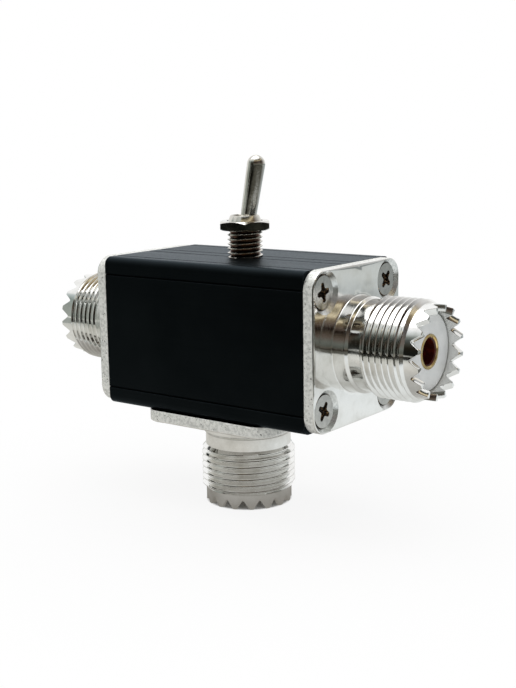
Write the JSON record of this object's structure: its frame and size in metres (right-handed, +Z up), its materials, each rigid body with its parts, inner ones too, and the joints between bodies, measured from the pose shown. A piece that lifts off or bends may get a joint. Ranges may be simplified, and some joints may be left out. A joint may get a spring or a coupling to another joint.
{
  "type": "coaxial antenna switch",
  "caption": "Small toggle-operated coaxial antenna switch: square black housing with threaded coaxial sockets on both ends and underneath.",
  "frame": {"origin": "on the surface that the object stands on, on the axis of the bottom socket, at the tips of its teeth", "axes": "+X along the two side sockets towards the side that the lever leans to, +Y away from the viewer, +Z up"},
  "size_m": [0.0728, 0.025, 0.0579],
  "materials": {
    "black_anodised": "satin",
    "nickel_shell": "gloss",
    "nickel_screws": "gloss",
    "nickel_toggle": "gloss",
    "white_fluoroplastic": "satin",
    "gilt_contact": "gloss",
    "zinc_steel": "satin",
    "blue_phenolic": "satin",
    "white_nylon": "matte",
    "spring_steel": "satin",
    "silvered_brass": "satin",
    "tinned_copper": "satin"
  },
  "bodies": {
    "switch_housing": {"housing": "black_anodised", "left_shell": "nickel_shell", "right_shell": "nickel_shell", "bottom_shell": "nickel_shell", "left_insulator": "white_fluoroplastic", "right_insulator": "white_fluoroplastic", "bottom_insulator": "white_fluoroplastic", "left_contact": "gilt_contact", "right_contact": "gilt_contact", "bottom_contact": "gilt_contact", "left_screws": "nickel_screws", "right_screws": "nickel_screws", "bottom_screws": "nickel_screws", "bushing": "nickel_toggle", "bushing_nut": "nickel_toggle", "lock_washer": "zinc_steel", "switch_frame": "zinc_steel", "switch_case": "blue_phenolic", "left_terminal": "silvered_brass", "common_terminal": "silvered_brass", "right_terminal": "silvered_brass", "left_link_wire": "tinned_copper", "common_link_wire": "tinned_copper", "right_link_wire": "tinned_copper"},
    "toggle_lever": {"lever": "nickel_toggle", "plunger": "white_nylon", "plunger_spring": "spring_steel"},
    "rocking_contact": {"rocker": "silvered_brass"}
  },
  "joints": [
    {"name": "lever_throw", "type": "hinge", "parent": "switch_housing", "child": "toggle_lever", "pos_m": [0, 0, 0.0442], "axis": [0, 1, 0], "range_deg": [-23, 0]},
    {"name": "rocker_tilt", "type": "hinge", "parent": "switch_housing", "child": "rocking_contact", "pos_m": [0, 0, 0.0334], "axis": [0, 1, 0], "range_deg": [0, 18]}
  ],
  "couplings": [
    {"joint": "rocker_tilt", "follows": "lever_throw", "ratio": -0.7826}
  ]
}
